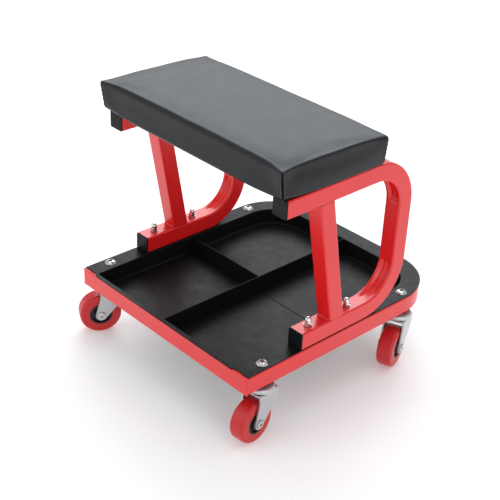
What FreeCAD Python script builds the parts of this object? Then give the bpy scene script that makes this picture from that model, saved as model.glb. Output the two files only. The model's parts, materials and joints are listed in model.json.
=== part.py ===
import FreeCAD, Part
import math
import os

import Sketcher
from FreeCAD import Placement, Rotation, Vector

# Mechanic's creeper seat: a padded bench seat on two bent-tube legs, bolted to a U-shaped tube base
# that carries a sheet-steel tool tray and runs on four swivel casters.
# Millimetres, +Z up, the front is towards -Y.
# The origin is on the floor under the middle of the base frame.

# Driving dimensions: alias, value, what it is. Heights are above the floor unless they say otherwise.
DRIVING = [
    ("frame_width", 360, "base frame, outside to outside"),
    ("frame_depth", 400, "base frame, front face to rear face"),
    ("rail_size", 27, "square base tube, outside"),
    ("rail_wall", 1.5, "wall of the base tube"),
    ("rail_bend", 70, "centre-line radius of the rear corners"),
    ("rail_bottom", 86.2, "underside of the base tube"),
    ("bar_thick", 3, "flat bar across the front"),
    ("corner_radius", 2.5, "outside corners of the square tubes"),
    ("sheet", 1.2, "tray and divider sheet"),
    ("tray_depth", 25.6, "tray cavity, flange top to floor"),
    ("tray_gap", 0.3, "gap between the pan and the base tube"),
    ("tray_inset", 1, "flange edge inside the frame's sides"),
    ("tray_bend", 80, "rear corner radius of the flange"),
    ("lip_depth", 7, "front lip, front edge to cavity"),
    ("lip_half", 150, "half length of the front lip"),
    ("lip_proud", 0.5, "front lip beyond the front bar's face"),
    ("flange_front", 196.5, "distance of the side flanges' front ends from the middle"),
    ("tray_fold", 2.5, "fold radius at the tray floor"),
    ("foot_width", 10, "welded foot of a divider"),
    ("long_divider_at", 2, "X of the long divider's middle"),
    ("cross_divider_at", -12, "Y of the cross divider's middle"),
    ("divider_thick", 1.6, "sheet of the long divider"),
    ("leg_size", 26, "square leg tube, outside"),
    ("leg_wall", 1.5, "wall of the leg tube"),
    ("leg_bend", 63.5, "centre-line radius of the leg bends"),
    ("leg_at", 166.6, "distance of each leg from the middle"),
    ("leg_height", 240.6, "C-leg, underside to top"),
    ("leg_rear", 87.7, "Y of the upright's centre line"),
    ("lower_arm_end", -98.9, "Y of the lower arm's cut end"),
    ("upper_arm_end", -144.4, "Y of the upper arm's cut end"),
    ("strut_foot", -46.5, "Y of the strut's front face at the lower arm"),
    ("strut_head", -84.7, "Y of the strut's front face at the upper arm"),
    ("strut_run", 26.5, "strut measured along Y"),
    ("cap_lip", 2, "visible thickness of an end cap"),
    ("cap_plug", 14, "depth of the cap's plug"),
    ("bolt_front", -77.3, "Y of the front leg bolts"),
    ("bolt_rear", -1.4, "Y of the rear leg bolts"),
    ("bolt_radius", 3, "leg bolt shank"),
    ("dome_nut_flats", 10, "dome nut across flats"),
    ("dome_nut_height", 12, "dome nut, overall"),
    ("washer_radius", 6, "leg bolt washer"),
    ("washer_thick", 1.6, "leg bolt washer"),
    ("seat_length", 361, "pad along X"),
    ("seat_depth", 187, "pad along Y"),
    ("seat_middle", -62.5, "Y of the pad's middle"),
    ("seat_thick", 42, "pad, underside to top"),
    ("seat_corner", 6.5, "upright corners of the pad"),
    ("seat_top_edge", 6, "rounding of the pad's upper edge"),
    ("seat_low_edge", 4, "rounding of the pad's lower edge"),
    ("board_thick", 10, "plywood board in the pad"),
    ("board_inset", 8, "board edge inside the pad's side"),
    ("screw_front", -118, "Y of the front seat screws"),
    ("screw_rear", -6, "Y of the rear seat screws"),
    ("screw_radius", 3, "seat screw shank"),
    ("caster_front", -160.3, "Y of the front casters' swivel axes"),
    ("caster_rear", 120.7, "Y of the rear casters' swivel axes"),
    ("stem_radius", 5, "caster bolt shank"),
    ("button_radius", 8.75, "button head of the caster bolt"),
    ("button_height", 4.6, "button head of the caster bolt"),
    ("stem_nut_flats", 17, "caster nuts across flats"),
    ("wheel_radius", 31.75, "tread radius"),
    ("tread_half", 12, "half width of the tread"),
    ("hub_radius", 17.5, "hub where it meets the tread"),
    ("hub_half", 13.5, "half width of the hub"),
    ("bush_radius", 6, "axle bush, outside"),
    ("axle_radius", 4, "axle shank"),
    ("axle_head", 6.2, "riveted axle head, radius"),
    ("axle_head_height", 2.4, "riveted axle head"),
    ("trail", 18, "axle behind the swivel axis"),
    ("cheek_gap", 27.5, "clear width between the fork's cheeks"),
    ("cheek_thick", 2.5, "fork sheet"),
    ("cheek_end", 8.5, "radius of the cheek around the axle"),
    ("crown_half", 19, "half length of the fork's crown"),
    ("crown_top", 75.5, "top of the fork's crown"),
    ("crown_side", 14, "upright side of the crown above the cheek's taper"),
    ("kingpin_nut_height", 4, "thin nut under the crown"),
    ("race_radius", 19, "upper ball race, outside"),
    ("race_top", 82.6, "top of the upper ball race"),
    ("ball_radius", 2.38, "bearing ball"),
    ("ball_pitch", 13.5, "radius of the ball circle"),
]

# Where each caster points at rest: the way its wheel trails, in degrees from +X.
CASTERS = {
    "front_left": (-1, "caster_front", -117.0),
    "front_right": (1, "caster_front", -83.0),
    "rear_left": (-1, "caster_rear", -118.0),
    "rear_right": (1, "caster_rear", -70.0),
}
SIDES = {"left": -1, "right": 1}
BALLS = 14
# Radial play of a shank in its drilled hole, of a fitted bore, and of a turning bore.
DRILLED_PLAY = 0.2
FITTED_PLAY = 0.05
TURNING_PLAY = 0.05
HEX_CORNER = 2 / math.sqrt(3)

doc = FreeCAD.newDocument("creeper_seat")
table = doc.addObject("Spreadsheet::Sheet", "Dims")
for row, (alias, value, meaning) in enumerate(DRIVING, start=1):
    table.set(f"A{row}", alias)
    table.set(f"B{row}", str(value))
    table.set(f"C{row}", meaning)
    table.setAlias(f"B{row}", alias)
doc.recompute()


class Size:
    """A length that carries both its value and the spreadsheet formula that drives it."""

    def __init__(self, value, formula):
        self.value = float(value)
        self.formula = formula

    def __add__(self, other):
        other = sized(other)
        return Size(self.value + other.value, f"({self.formula} + {other.formula})")

    def __sub__(self, other):
        other = sized(other)
        return Size(self.value - other.value, f"({self.formula} - {other.formula})")

    def __rsub__(self, other):
        return sized(other) - self

    def __mul__(self, factor):
        return Size(self.value * factor, f"({self.formula} * {factor:.6f})")

    def __truediv__(self, factor):
        return self * (1 / factor)

    def __neg__(self):
        return self * -1

    __radd__ = __add__
    __rmul__ = __mul__


def sized(number):
    return number if isinstance(number, Size) else Size(number, f"({number:.6f})")


dim = {alias: Size(table.get(alias), f"Dims.{alias}") for alias, _, _ in DRIVING}


def bind(thing, name, size):
    """Drive one property of a document object from the spreadsheet."""
    thing.setExpression(name, sized(size).formula)


# ---------------------------------------------------------------- sketches


def sketch_on(body, plane, offset=0):
    """A sketch on one of the body's origin planes. XZ faces -Y, so its offset counts towards -Y."""
    sketch = body.newObject("Sketcher::SketchObject", "Sketch")
    support = next(f for f in body.Origin.OriginFeatures if f.Role == plane + "_Plane")
    sketch.AttachmentSupport = [(support, "")]
    sketch.MapMode = "FlatFace"
    bind(sketch, "AttachmentOffset.Base.z", offset)
    return sketch


def constrain(sketch, kind, *where, size=None):
    if size is None:
        return sketch.addConstraint(Sketcher.Constraint(kind, *where))
    size = sized(size)
    index = sketch.addConstraint(Sketcher.Constraint(kind, *where, size.value))
    sketch.setExpression(f"Constraints[{index}]", size.formula)
    return index


def pin_point(sketch, edge, end, x, y):
    """Hold one point of the sketch at a distance from its origin."""
    constrain(sketch, "DistanceX", -1, 1, edge, end, size=x)
    constrain(sketch, "DistanceY", -1, 1, edge, end, size=y)


def arc_between(start, end, radius):
    """The arc of less than half a turn from start to end; a negative radius turns clockwise."""
    chord = end - start
    to_centre = math.sqrt(max(radius**2 - chord.Length**2 / 4, 0))
    left = Vector(-chord.y, chord.x, 0).normalize()
    centre = (start + end) / 2 + left * math.copysign(to_centre, radius)
    first, last = (start, end) if radius > 0 else (end, start)
    angles = [math.atan2(p.y - centre.y, p.x - centre.x) for p in (first, last)]
    circle = Part.Circle(centre, Vector(0, 0, 1), abs(radius))
    return Part.ArcOfCircle(circle, *angles)


def draw_path(sketch, start, *steps, closed=True):
    """Straight sides (x, y) and arcs (x, y, radius), end to end; a closed path ends where it starts."""
    here = [sized(c) for c in start]
    edges = []
    for step in steps:
        there = [sized(c) for c in step[:2]]
        start_point = Vector(here[0].value, here[1].value, 0)
        end_point = Vector(there[0].value, there[1].value, 0)
        ends = (1, 2)
        if len(step) == 2:
            edge = sketch.addGeometry(Part.LineSegment(start_point, end_point), False)
        else:
            radius = sized(step[2])
            ends = (1, 2) if radius.value > 0 else (2, 1)
            edge = sketch.addGeometry(arc_between(start_point, end_point, radius.value), False)
            constrain(sketch, "Radius", edge, size=radius if radius.value > 0 else -radius)
        if edges:
            constrain(sketch, "Coincident", edges[-1][0], edges[-1][2], edge, ends[0])
        elif not closed:
            pin_point(sketch, edge, ends[0], *here)
        pin_point(sketch, edge, ends[1], *there)
        edges.append((edge, *ends))
        here = there
    if closed:
        constrain(sketch, "Coincident", edges[-1][0], edges[-1][2], edges[0][0], edges[0][1])


def draw_circle(sketch, x, y, radius):
    centre = Vector(sized(x).value, sized(y).value, 0)
    circle = Part.Circle(centre, Vector(0, 0, 1), sized(radius).value)
    edge = sketch.addGeometry(circle, False)
    pin_point(sketch, edge, 3, x, y)
    constrain(sketch, "Radius", edge, size=radius)


def draw_box(sketch, x, y, half_x, half_y, radius=None):
    """A rectangle about (x, y), with rounded corners if a radius is given."""
    left, right, low, high = x - half_x, x + half_x, y - half_y, y + half_y
    if radius is None:
        draw_path(sketch, (left, low), (right, low), (right, high), (left, high), (left, low))
        return
    draw_path(
        sketch,
        (left + radius, low),
        (right - radius, low),
        (right, low + radius, radius),
        (right, high - radius),
        (right - radius, high, radius),
        (left + radius, high),
        (left, high - radius, radius),
        (left, low + radius),
        (left + radius, low, radius),
    )


def draw_hexagon(sketch, flats):
    """A hexagon about the origin, flats apart along Y."""
    corner = flats * (HEX_CORNER / 2)
    half = flats / 2
    draw_path(
        sketch,
        (corner, 0),
        (corner / 2, half),
        (-corner / 2, half),
        (-corner, 0),
        (-corner / 2, -half),
        (corner / 2, -half),
        (corner, 0),
    )


def draw_square_tube(sketch, x, y, size, wall):
    """The section of a square tube with rounded corners."""
    outer = dim["corner_radius"]
    draw_box(sketch, x, y, size / 2, size / 2, outer)
    draw_box(sketch, x, y, size / 2 - wall, size / 2 - wall, outer - wall)


# ---------------------------------------------------------------- features


def new_body(name):
    body = doc.addObject("PartDesign::Body", name)
    body.Label = name
    return body


def place(thing, x=0, y=0, z=0, turn=0):
    """Set a sub-part's Placement; its position follows the spreadsheet."""
    thing.Placement = Placement(Vector(), Rotation(Vector(0, 0, 1), turn))
    for axis, size in zip("xyz", (x, y, z)):
        bind(thing, f"Placement.Base.{axis}", size)


def pad(body, sketch, length, symmetric=False, reverse=False):
    feature = body.newObject("PartDesign::Pad", "Pad")
    feature.Profile = sketch
    feature.SideType = "Symmetric" if symmetric else "One side"
    feature.Reversed = reverse
    bind(feature, "Length", length)
    return feature


def must_cut(body, feature):
    """Recompute, and make sure that the feature took material away."""
    before = feature.BaseFeature.Shape.Volume
    doc.recompute()
    if not feature.Shape.Volume < before - 1e-6:
        raise RuntimeError(f"{body.Label}: {feature.Name} removes nothing")
    return feature


def pocket(body, sketch, length, symmetric=False, reverse=False):
    """Cut against the sketch's normal, along it if reversed, or to both sides."""
    doc.recompute()
    feature = body.newObject("PartDesign::Pocket", "Pocket")
    feature.Profile = sketch
    feature.SideType = "Symmetric" if symmetric else "One side"
    feature.Reversed = reverse
    bind(feature, "Length", length)
    return must_cut(body, feature)


def turn_profile(body, sketch, kind="Revolution"):
    """Revolve (or groove) a sketch about its own vertical axis."""
    doc.recompute()
    feature = body.newObject(f"PartDesign::{kind}", kind)
    feature.Profile = sketch
    feature.ReferenceAxis = (sketch, ["V_Axis"])
    feature.Angle = 360
    if kind == "Groove":
        must_cut(body, feature)
    return feature


def sweep(body, profile, spine):
    """Sweep a section along an open path."""
    doc.recompute()
    feature = body.newObject("PartDesign::AdditivePipe", "Pipe")
    feature.Profile = profile
    feature.Spine = (spine, [f"Edge{n + 1}" for n in range(len(spine.Shape.Edges))])
    feature.Mode = "Fixed" if len(spine.Shape.Edges) == 1 else "Frenet"
    return feature


def fillet(body, radius, wanted):
    """Round every edge of the body that the test accepts."""
    doc.recompute()
    base = body.Tip
    names = [f"Edge{n}" for n, edge in enumerate(base.Shape.Edges, start=1) if wanted(edge)]
    if not names:
        raise RuntimeError(f"{body.Label}: no edge to round")
    feature = body.newObject("PartDesign::Fillet", "Fillet")
    feature.Base = (base, names)
    bind(feature, "Radius", radius)
    doc.recompute()
    return feature


def spans(edge):
    """The lengths of an edge's box along X, Y and Z."""
    box = edge.BoundBox
    return (box.XLength, box.YLength, box.ZLength)


def is_along(edge, axis):
    """True for a straight edge along one axis."""
    return all((length > 1e-4) == (n == axis) for n, length in enumerate(spans(edge)))


def lies_at(edge, axis, size):
    """True for an edge whose every point has this coordinate."""
    low = (edge.BoundBox.XMin, edge.BoundBox.YMin, edge.BoundBox.ZMin)[axis]
    return spans(edge)[axis] < 1e-4 and abs(low - sized(size).value) < 1e-4


def drill(body, top, depth, holes, radius):
    """Round holes straight down from a height; holes is a list of (x, y)."""
    sketch = sketch_on(body, "XY", top)
    for x, y in holes:
        draw_circle(sketch, x, y, radius)
    return pocket(body, sketch, depth)


def turned(name, *outline):
    """A body of revolution about Z, from a closed outline of radius and height."""
    body = new_body(name)
    sketch = sketch_on(body, "XZ")
    draw_path(sketch, *outline)
    turn_profile(body, sketch)
    return body


def wheel_turned(name, *outline):
    """A body of revolution about Y, from a closed outline of radius and distance along the axle."""
    body = new_body(name)
    sketch = sketch_on(body, "XY")
    draw_path(sketch, *outline)
    turn_profile(body, sketch)
    return body


nodes = []


def keep(thing):
    """Remember a finished sub-part as one node of the model."""
    nodes.append(thing)
    return thing


def group(name, members):
    """Identical pieces as one node of separate solids."""
    compound = doc.addObject("Part::Compound", name)
    compound.Label = name
    compound.Links = members
    place(compound)
    return keep(compound)


# ---------------------------------------------------------------- shared heights and places

rail_top = dim["rail_bottom"] + dim["rail_size"]
rail_middle = dim["rail_bottom"] + dim["rail_size"] / 2
rail_at = dim["frame_width"] / 2 - dim["rail_size"] / 2
rear_at = dim["frame_depth"] / 2 - dim["rail_size"] / 2
front_face = -dim["frame_depth"] / 2
rail_front = front_face + dim["bar_thick"]
lip_front = front_face - dim["lip_proud"]
flange_top = rail_top + dim["sheet"]
floor_top = flange_top - dim["tray_depth"]
lower_arm = flange_top + dim["leg_size"] / 2
arm_top = flange_top + dim["leg_size"]
seat_bottom = flange_top + dim["leg_height"]
upper_arm = seat_bottom - dim["leg_size"] / 2
arm_underside = seat_bottom - dim["leg_size"]
crown_bottom = dim["crown_top"] - dim["cheek_thick"]
shoulder_height = dim["crown_top"] - dim["crown_side"]
cheek_outside = dim["cheek_gap"] / 2 + dim["cheek_thick"]

stem_holes = [(side * rail_at, dim[at]) for side, at, _ in CASTERS.values()]
leg_holes = [(side * dim["leg_at"], dim[at]) for side in (-1, 1) for at in ("bolt_front", "bolt_rear")]
dome_wall = 2.5
thread_in_dome = dim["dome_nut_height"] - dome_wall - 1


# ---------------------------------------------------------------- base frame


def build_base_tube():
    """Square tube bent to a U that is open to the front."""
    body = new_body("base_tube")
    spine = sketch_on(body, "XY", rail_middle)
    bend = dim["rail_bend"]
    draw_path(
        spine,
        (-rail_at, rail_front),
        (-rail_at, rear_at - bend),
        (-rail_at + bend, rear_at, -bend),
        (rail_at - bend, rear_at),
        (rail_at, rear_at - bend, -bend),
        (rail_at, rail_front),
        closed=False,
    )
    section = sketch_on(body, "XZ", -rail_front)
    draw_square_tube(section, -rail_at, rail_middle, dim["rail_size"], dim["rail_wall"])
    sweep(body, section, spine)
    drill(body, rail_top + 1, dim["rail_size"] + 2, stem_holes, dim["stem_radius"] + DRILLED_PLAY)
    drill(body, rail_top + 1, dim["rail_size"] + 2, leg_holes, dim["bolt_radius"] + DRILLED_PLAY)
    place(body)
    return keep(body)


def build_front_rail():
    """Flat bar welded across the two cut ends of the base tube."""
    body = new_body("front_rail")
    sketch = sketch_on(body, "XZ", -rail_front)
    draw_box(sketch, 0, rail_middle, dim["frame_width"] / 2, dim["rail_size"] / 2)
    pad(body, sketch, dim["bar_thick"])
    fillet(body, dim["bar_thick"] / 2, lambda edge: lies_at(edge, 1, front_face))
    place(body)
    return keep(body)


# ---------------------------------------------------------------- tool tray


def draw_pan(sketch, grow):
    """The tray's cavity, or the outside of its walls where grow is the sheet."""
    half = dim["frame_width"] / 2 - dim["rail_size"] - dim["tray_gap"] - dim["sheet"] + grow
    rear = dim["frame_depth"] / 2 - dim["rail_size"] - dim["tray_gap"] - dim["sheet"] + grow
    bend = dim["rail_bend"] - dim["rail_size"] / 2 - dim["tray_gap"] - dim["sheet"] + grow
    front = lip_front + dim["lip_depth"] - grow
    draw_path(
        sketch,
        (-half, front),
        (half, front),
        (half, rear - bend),
        (half - bend, rear, bend),
        (bend - half, rear),
        (-half, rear - bend, bend),
        (-half, front),
    )


def build_tray():
    """Sheet-steel pan: flanges on the tube at both sides and the rear, a narrow lip at the front."""
    body = new_body("tray")
    flange = sketch_on(body, "XY", rail_top)
    side = dim["frame_width"] / 2 - dim["tray_inset"]
    rear = dim["frame_depth"] / 2
    bend = dim["tray_bend"]
    draw_path(
        flange,
        (-side, -dim["flange_front"]),
        (-dim["lip_half"], -dim["flange_front"]),
        (-dim["lip_half"], lip_front),
        (dim["lip_half"], lip_front),
        (dim["lip_half"], -dim["flange_front"]),
        (side, -dim["flange_front"]),
        (side, rear - bend),
        (side - bend, rear, bend),
        (bend - side, rear),
        (-side, rear - bend, bend),
        (-side, -dim["flange_front"]),
    )
    pad(body, flange, dim["sheet"])
    walls = sketch_on(body, "XY", rail_top)
    draw_pan(walls, dim["sheet"])
    pad(body, walls, dim["tray_depth"], reverse=True)
    cavity = sketch_on(body, "XY", flange_top)
    draw_pan(cavity, 0)
    pocket(body, cavity, dim["tray_depth"])
    outer_fold = dim["tray_fold"] + dim["sheet"]
    floor_bottom = floor_top - dim["sheet"]
    front_wall = rail_front.value + dim["lip_depth"].value
    fillet(
        body,
        dim["tray_fold"],
        lambda edge: is_along(edge, 2)
        and edge.BoundBox.YMax < front_wall
        and edge.Length > dim["sheet"].value * 2,
    )
    fillet(body, dim["tray_fold"], lambda edge: lies_at(edge, 2, floor_top))
    fillet(body, outer_fold, lambda edge: lies_at(edge, 2, floor_bottom))
    inside = dim["frame_width"].value / 2 - dim["rail_size"].value
    fillet(
        body,
        dim["sheet"],
        lambda edge: lies_at(edge, 2, flange_top)
        and edge.BoundBox.XMax < inside
        and edge.BoundBox.XMin > -inside
        and edge.BoundBox.YMin > lip_front.value + dim["sheet"].value
        and edge.BoundBox.YMax < dim["frame_depth"].value / 2 - dim["rail_size"].value,
    )
    drill(body, flange_top + 1, dim["sheet"] + 2, stem_holes, dim["stem_radius"] + DRILLED_PLAY)
    drill(body, flange_top + 1, dim["sheet"] + 2, leg_holes, dim["bolt_radius"] + DRILLED_PLAY)
    press_floor_line(body)
    place(body)
    return keep(body)


def press_floor_line(body):
    """Shallow pressed line across the right half of the floor, in line with the cross divider."""
    line_width, line_depth, line_end = 1.4, 0.5, 8
    sketch = sketch_on(body, "XY", floor_top)
    start = dim["long_divider_at"] + line_end
    end = dim["frame_width"] / 2 - dim["rail_size"] - line_end
    middle = (start + end) / 2
    draw_box(sketch, middle, dim["cross_divider_at"], (end - start) / 2, sized(line_width) / 2)
    pocket(body, sketch, line_depth)


def build_long_divider():
    """Sheet strip from front to back, with a foot welded to the floor on its left."""
    body = new_body("long_divider")
    play = 0.3
    front = lip_front + dim["lip_depth"] + play
    rear = dim["frame_depth"] / 2 - dim["rail_size"] - dim["tray_gap"] - dim["sheet"] - play
    corner = dim["tray_fold"] + play
    top = flange_top - play
    web = sketch_on(body, "YZ")
    draw_path(
        web,
        (front + corner, floor_top),
        (rear - corner, floor_top),
        (rear, floor_top + corner),
        (rear, top),
        (front, top),
        (front, floor_top + corner),
        (front + corner, floor_top),
    )
    pad(body, web, dim["divider_thick"], symmetric=True)
    fillet(body, 0.6, lambda edge: lies_at(edge, 2, top) and is_along(edge, 1))
    foot = sketch_on(body, "XY", floor_top)
    foot_middle = -(dim["divider_thick"] + dim["foot_width"]) / 2
    foot_half = (rear - front) / 2 - corner
    draw_box(foot, foot_middle, (front + rear) / 2, dim["foot_width"] / 2, foot_half)
    pad(body, foot, dim["sheet"])
    place(body, x=dim["long_divider_at"])
    return keep(body)


def build_cross_divider():
    """Sheet strip across the left half, notched over the long divider's foot."""
    body = new_body("cross_divider")
    play = 0.3
    left = -(dim["frame_width"] / 2 - dim["rail_size"] - dim["tray_gap"] - dim["sheet"] - play)
    right = dim["long_divider_at"] - dim["divider_thick"] / 2
    notch_left = right - dim["foot_width"] - play
    notch_top = floor_top + dim["sheet"] + play
    corner = dim["tray_fold"] + play
    top = flange_top - play
    web = sketch_on(body, "XZ")
    draw_path(
        web,
        (left + corner, floor_top),
        (notch_left, floor_top),
        (notch_left, notch_top),
        (right, notch_top),
        (right, top),
        (left, top),
        (left, floor_top + corner),
        (left + corner, floor_top),
    )
    pad(body, web, dim["sheet"], symmetric=True)
    fillet(body, 0.4, lambda edge: lies_at(edge, 2, top) and is_along(edge, 0))
    foot = sketch_on(body, "XY", floor_top)
    foot_left = left + corner
    foot_half = (notch_left - foot_left) / 2
    foot_middle = (dim["sheet"] + dim["foot_width"]) / 2
    draw_box(foot, (foot_left + notch_left) / 2, foot_middle, foot_half, dim["foot_width"] / 2)
    pad(body, foot, dim["sheet"])
    place(body, y=dim["cross_divider_at"])
    return keep(body)


# ---------------------------------------------------------------- legs


def build_leg(side):
    """Square tube bent to a C that is open to the front, drilled for its bolts and seat screws."""
    body = new_body(f"{side}_leg")
    bend = dim["leg_bend"]
    rear = dim["leg_rear"]
    spine = sketch_on(body, "YZ")
    draw_path(
        spine,
        (dim["lower_arm_end"], lower_arm),
        (rear - bend, lower_arm),
        (rear, lower_arm + bend, bend),
        (rear, upper_arm - bend),
        (rear - bend, upper_arm, bend),
        (dim["upper_arm_end"], upper_arm),
        closed=False,
    )
    section = sketch_on(body, "XZ", -dim["lower_arm_end"])
    draw_square_tube(section, 0, lower_arm, dim["leg_size"], dim["leg_wall"])
    sweep(body, section, spine)
    through = dim["leg_size"] + 2
    bolts = [(0, dim["bolt_front"]), (0, dim["bolt_rear"])]
    screws = [(0, dim["screw_front"]), (0, dim["screw_rear"])]
    drill(body, arm_top + 1, through, bolts, dim["bolt_radius"] + DRILLED_PLAY)
    drill(body, seat_bottom + 1, through, screws, dim["screw_radius"] + DRILLED_PLAY)
    place(body, x=SIDES[side] * dim["leg_at"])
    return keep(body)


def build_strut(side):
    """Leaning square tube welded between the two arms of the leg."""
    body = new_body(f"{side}_strut")
    foot, head, run = dim["strut_foot"], dim["strut_head"], dim["strut_run"]
    outline = sketch_on(body, "YZ")
    draw_path(
        outline,
        (foot, arm_top),
        (foot + run, arm_top),
        (head + run, arm_underside),
        (head, arm_underside),
        (foot, arm_top),
    )
    pad(body, outline, dim["leg_size"], symmetric=True)
    height = (arm_underside - arm_top).value
    fillet(body, dim["corner_radius"], lambda edge: abs(spans(edge)[2] - height) < 1e-3)
    bore = sketch_on(body, "YZ")
    wall = dim["leg_wall"]
    draw_path(
        bore,
        (foot + wall, arm_top),
        (foot + run - wall, arm_top),
        (head + run - wall, arm_underside),
        (head + wall, arm_underside),
        (foot + wall, arm_top),
    )
    pocket(body, bore, dim["leg_size"] - wall * 2, symmetric=True)
    place(body, x=SIDES[side] * dim["leg_at"])
    return keep(body)


def build_cap(name, side, end, height):
    """Plastic plug pressed into a cut tube end, with a thin face plate."""
    plug_wall = 2
    body = new_body(name)
    face = sketch_on(body, "XZ")
    draw_box(face, 0, 0, dim["leg_size"] / 2, dim["leg_size"] / 2, dim["corner_radius"])
    pad(body, face, dim["cap_lip"])
    fillet(body, dim["cap_lip"] / 2, lambda edge: lies_at(edge, 1, -dim["cap_lip"]))
    plug = sketch_on(body, "XZ")
    half = dim["leg_size"] / 2 - dim["leg_wall"] - FITTED_PLAY
    draw_box(plug, 0, 0, half, half, dim["corner_radius"] - dim["leg_wall"])
    pad(body, plug, dim["cap_plug"], reverse=True)
    hollow = sketch_on(body, "XZ", -dim["cap_plug"])
    draw_box(hollow, 0, 0, half - plug_wall, half - plug_wall)
    pocket(body, hollow, dim["cap_plug"] - dim["cap_lip"], reverse=True)
    place(body, x=SIDES[side] * dim["leg_at"], y=end, z=height)
    return keep(body)


# ---------------------------------------------------------------- leg fasteners


def leg_bolt(name):
    """Carriage bolt: domed head under the rail, shank up through the lower arm."""
    head_radius, head_height = 6.8, 3.3
    shank = dim["bolt_radius"]
    end = arm_top + dim["washer_thick"] + thread_in_dome
    crown = head_height + (head_radius**2 - head_height**2) / (2 * head_height)
    return turned(
        name,
        (0, dim["rail_bottom"] - head_height),
        (head_radius, dim["rail_bottom"], crown),
        (shank, dim["rail_bottom"]),
        (shank, end),
        (0, end),
        (0, dim["rail_bottom"] - head_height),
    )


def leg_washer(name):
    """Flat washer between the lower arm and its dome nut."""
    inner = dim["bolt_radius"] + DRILLED_PLAY
    return turned(
        name,
        (inner, arm_top),
        (dim["washer_radius"], arm_top),
        (dim["washer_radius"], arm_top + dim["washer_thick"]),
        (inner, arm_top + dim["washer_thick"]),
        (inner, arm_top),
    )


def chamfer_hexagon(body, flats, height):
    """Turn the corners off both ends of a hexagon that stands on z = 0."""
    rim = flats / 2 * 0.97
    corner = flats * (HEX_CORNER / 2) + 1
    drop = (corner - rim) / 2
    sketch = sketch_on(body, "XZ")
    draw_path(sketch, (rim, height), (corner, height - drop), (corner, height), (rim, height))
    draw_path(sketch, (rim, 0), (corner, 0), (corner, drop), (rim, 0))
    turn_profile(body, sketch, "Groove")


def dome_nut(name):
    """Hexagon base with a domed, closed top."""
    body = new_body(name)
    flats, height = dim["dome_nut_flats"], dim["dome_nut_height"]
    hexagon_height, overlap = 5, 1
    base = sketch_on(body, "XY")
    draw_hexagon(base, flats)
    pad(body, base, hexagon_height)
    chamfer_hexagon(body, flats, sized(hexagon_height))
    neck = flats / 2 * 0.93
    dome = sketch_on(body, "XZ")
    draw_path(
        dome,
        (0, hexagon_height - overlap),
        (neck, hexagon_height - overlap),
        (neck, height - neck),
        (0, height, neck),
        (0, hexagon_height - overlap),
    )
    turn_profile(body, dome)
    bore = sketch_on(body, "XY")
    draw_circle(bore, 0, 0, dim["bolt_radius"] + FITTED_PLAY)
    pocket(body, bore, height - dome_wall, reverse=True)
    return body


def hex_nut(name, flats, height, bore_radius):
    body = new_body(name)
    base = sketch_on(body, "XY")
    draw_hexagon(base, flats)
    pad(body, base, height)
    chamfer_hexagon(body, flats, sized(height))
    drill(body, height + 1, height + 2, [(0, 0)], bore_radius)
    return body


def build_leg_fasteners(side):
    """Two bolts, two washers and two dome nuts for one leg."""
    x = SIDES[side] * dim["leg_at"]
    bolts, washers, nuts = [], [], []
    for end in ("front", "rear"):
        y = dim[f"bolt_{end}"]
        bolts.append(leg_bolt(f"{side}_{end}_leg_bolt"))
        washers.append(leg_washer(f"{side}_{end}_leg_washer"))
        nuts.append(dome_nut(f"{side}_{end}_dome_nut"))
        place(bolts[-1], x, y)
        place(washers[-1], x, y)
        place(nuts[-1], x, y, arm_top + dim["washer_thick"], turn=12)
    group(f"{side}_leg_bolts", bolts)
    group(f"{side}_leg_washers", washers)
    group(f"{side}_dome_nuts", nuts)


# ---------------------------------------------------------------- seat


def build_seat_board():
    """Plywood board in the underside of the pad, drilled for the seat screws."""
    body = new_body("seat_board")
    sketch = sketch_on(body, "XY")
    half_x = dim["seat_length"] / 2 - dim["board_inset"]
    half_y = dim["seat_depth"] / 2 - dim["board_inset"]
    draw_box(sketch, 0, 0, half_x, half_y, dim["seat_corner"])
    pad(body, sketch, dim["board_thick"])
    holes = [
        (side * dim["leg_at"], dim[at] - dim["seat_middle"])
        for side in (-1, 1)
        for at in ("screw_front", "screw_rear")
    ]
    drill(body, dim["board_thick"] + 1, dim["board_thick"] + 2, holes, dim["screw_radius"] + FITTED_PLAY)
    place(body, y=dim["seat_middle"], z=seat_bottom)
    return keep(body)


def build_seat_pad():
    """Foam pad in its cover, as one soft block with a recess for the board."""
    body = new_body("seat_pad")
    half_x, half_y = dim["seat_length"] / 2, dim["seat_depth"] / 2
    block = sketch_on(body, "XY")
    draw_box(block, 0, 0, half_x, half_y, dim["seat_corner"])
    pad(body, block, dim["seat_thick"])
    fillet(body, dim["seat_top_edge"], lambda edge: lies_at(edge, 2, dim["seat_thick"]))
    fillet(body, dim["seat_low_edge"], lambda edge: lies_at(edge, 2, 0))
    play = 0.3
    recess = sketch_on(body, "XY", dim["board_thick"] + play)
    inset = dim["board_inset"] - play
    draw_box(recess, 0, 0, half_x - inset, half_y - inset, dim["seat_corner"])
    pocket(body, recess, dim["board_thick"] + play + 1)
    place(body, y=dim["seat_middle"], z=seat_bottom)
    return keep(body)


def seat_screw(name):
    """Long wood screw with a flanged head under the upper arm."""
    shank, head, flange = dim["screw_radius"], 5.0, 7.5
    head_height, flange_root, flange_rim, point = 4.0, 1.5, 1.2, 1.0
    end = dim["leg_size"] + dim["board_thick"] - 1
    return turned(
        name,
        (0, -head_height),
        (head, -head_height),
        (head, -flange_root),
        (flange, -flange_rim),
        (flange, 0),
        (shank, 0),
        (shank, end - point),
        (0, end),
        (0, -head_height),
    )


def build_seat_screws():
    screws = []
    for side, sign in SIDES.items():
        for end in ("front", "rear"):
            screws.append(seat_screw(f"{side}_{end}_seat_screw"))
            place(screws[-1], sign * dim["leg_at"], dim[f"screw_{end}"], arm_underside)
    group("seat_screws", screws)


# ---------------------------------------------------------------- casters


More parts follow.
